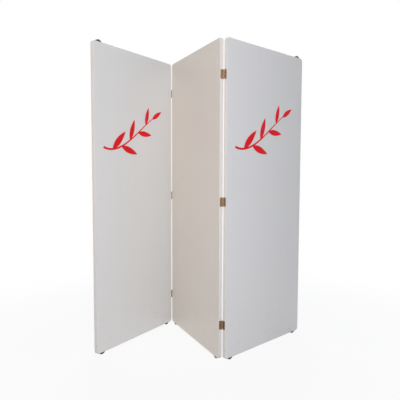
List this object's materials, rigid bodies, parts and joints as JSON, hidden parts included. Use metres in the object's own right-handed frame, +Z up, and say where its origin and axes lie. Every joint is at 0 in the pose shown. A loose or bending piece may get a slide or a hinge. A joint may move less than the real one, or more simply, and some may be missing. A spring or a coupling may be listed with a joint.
{
  "type": "folding privacy screen",
  "caption": "Folding privacy screen of flat white laminated boards, joined zig-zag by brass butt hinges, with rubber wheels let into the bottom edges and two top corners.",
  "frame": {"origin": "on the floor under the wheels, at the middle of the box round the screen as it stands in its zig-zag", "axes": "+Z up, +X to the right and +Y away from a viewer who stands in front of the screen"},
  "size_m": [1.2588, 0.6504, 1.7996],
  "materials": {
    "white_laminate": "satin",
    "white_edge_band": "satin",
    "fibreboard_core": "matte",
    "dark_rubber": "matte",
    "axle_steel": "satin",
    "hinge_brass": "satin",
    "red_film": "satin"
  },
  "bodies": {
    "left_board": {"left_board_core": "fibreboard_core", "left_board_front_laminate": "white_laminate", "left_board_back_laminate": "white_laminate", "left_board_edge_band": "white_edge_band", "left_board_axle_bottom_left": "axle_steel", "left_board_axle_bottom_right": "axle_steel", "left_board_axle_top_left": "axle_steel", "left_board_sprig_film": "red_film", "valley_hinge_lower_leaf_on_left_board": "hinge_brass", "valley_hinge_middle_leaf_on_left_board": "hinge_brass", "valley_hinge_upper_leaf_on_left_board": "hinge_brass"},
    "middle_board": {"middle_board_core": "fibreboard_core", "middle_board_front_laminate": "white_laminate", "middle_board_back_laminate": "white_laminate", "middle_board_edge_band": "white_edge_band", "middle_board_axle_bottom_left": "axle_steel", "middle_board_axle_bottom_right": "axle_steel", "valley_hinge_lower_leaf_on_middle_board": "hinge_brass", "valley_hinge_lower_pin": "hinge_brass", "valley_hinge_middle_leaf_on_middle_board": "hinge_brass", "valley_hinge_middle_pin": "hinge_brass", "valley_hinge_upper_leaf_on_middle_board": "hinge_brass", "valley_hinge_upper_pin": "hinge_brass", "ridge_hinge_lower_leaf_on_middle_board": "hinge_brass", "ridge_hinge_lower_pin": "hinge_brass", "ridge_hinge_middle_leaf_on_middle_board": "hinge_brass", "ridge_hinge_middle_pin": "hinge_brass", "ridge_hinge_upper_leaf_on_middle_board": "hinge_brass", "ridge_hinge_upper_pin": "hinge_brass"},
    "right_board": {"right_board_core": "fibreboard_core", "right_board_front_laminate": "white_laminate", "right_board_back_laminate": "white_laminate", "right_board_edge_band": "white_edge_band", "right_board_axle_bottom_left": "axle_steel", "right_board_axle_bottom_right": "axle_steel", "right_board_axle_top_right": "axle_steel", "right_board_sprig_film": "red_film", "ridge_hinge_lower_leaf_on_right_board": "hinge_brass", "ridge_hinge_middle_leaf_on_right_board": "hinge_brass", "ridge_hinge_upper_leaf_on_right_board": "hinge_brass"},
    "left_board_wheel_bottom_left": {"left_board_wheel_bottom_left": "dark_rubber"},
    "left_board_wheel_bottom_right": {"left_board_wheel_bottom_right": "dark_rubber"},
    "left_board_wheel_top_left": {"left_board_wheel_top_left": "dark_rubber"},
    "middle_board_wheel_bottom_left": {"middle_board_wheel_bottom_left": "dark_rubber"},
    "middle_board_wheel_bottom_right": {"middle_board_wheel_bottom_right": "dark_rubber"},
    "right_board_wheel_bottom_left": {"right_board_wheel_bottom_left": "dark_rubber"},
    "right_board_wheel_bottom_right": {"right_board_wheel_bottom_right": "dark_rubber"},
    "right_board_wheel_top_right": {"right_board_wheel_top_right": "dark_rubber"}
  },
  "joints": [
    {"name": "valley_fold", "type": "hinge", "parent": "middle_board", "child": "left_board", "pos_m": [-0.21969, 0.31604, 0.89979], "axis": [0, 0, 1], "range_deg": [-125.6, 59.4]},
    {"name": "ridge_fold", "type": "hinge", "parent": "middle_board", "child": "right_board", "pos_m": [0.10252, -0.31262, 0.89979], "axis": [0, 0, 1], "range_deg": [-112.7, 72.3]},
    {"name": "left_board_wheel_bottom_left_spin", "type": "hinge", "parent": "left_board", "child": "left_board_wheel_bottom_left", "pos_m": [-0.59486, -0.22103, 0.02479], "axis": [-0.829, 0.5592, 0], "continuous": true},
    {"name": "left_board_wheel_bottom_right_spin", "type": "hinge", "parent": "left_board", "child": "left_board_wheel_bottom_right", "pos_m": [-0.2571, 0.27971, 0.02479], "axis": [-0.829, 0.5592, 0], "continuous": true},
    {"name": "left_board_wheel_top_left_spin", "type": "hinge", "parent": "left_board", "child": "left_board_wheel_top_left", "pos_m": [-0.59486, -0.22103, 1.77479], "axis": [-0.829, 0.5592, 0], "continuous": true},
    {"name": "middle_board_wheel_bottom_left_spin", "type": "hinge", "parent": "middle_board", "child": "middle_board_wheel_bottom_left", "pos_m": [-0.18812, 0.27452, 0.02479], "axis": [0.9033, 0.4289, 0], "continuous": true},
    {"name": "middle_board_wheel_bottom_right_spin", "type": "hinge", "parent": "middle_board", "child": "middle_board_wheel_bottom_right", "pos_m": [0.07095, -0.2711, 0.02479], "axis": [0.9033, 0.4289, 0], "continuous": true},
    {"name": "right_board_wheel_bottom_left_spin", "type": "hinge", "parent": "right_board", "child": "right_board_wheel_bottom_left", "pos_m": [0.1471, -0.28555, 0.02479], "axis": [-0.6833, 0.7302, 0], "continuous": true},
    {"name": "right_board_wheel_bottom_right_spin", "type": "hinge", "parent": "right_board", "child": "right_board_wheel_bottom_right", "pos_m": [0.58812, 0.12714, 0.02479], "axis": [-0.6833, 0.7302, 0], "continuous": true},
    {"name": "right_board_wheel_top_right_spin", "type": "hinge", "parent": "right_board", "child": "right_board_wheel_top_right", "pos_m": [0.58812, 0.12714, 1.77479], "axis": [-0.6833, 0.7302, 0], "continuous": true}
  ]
}
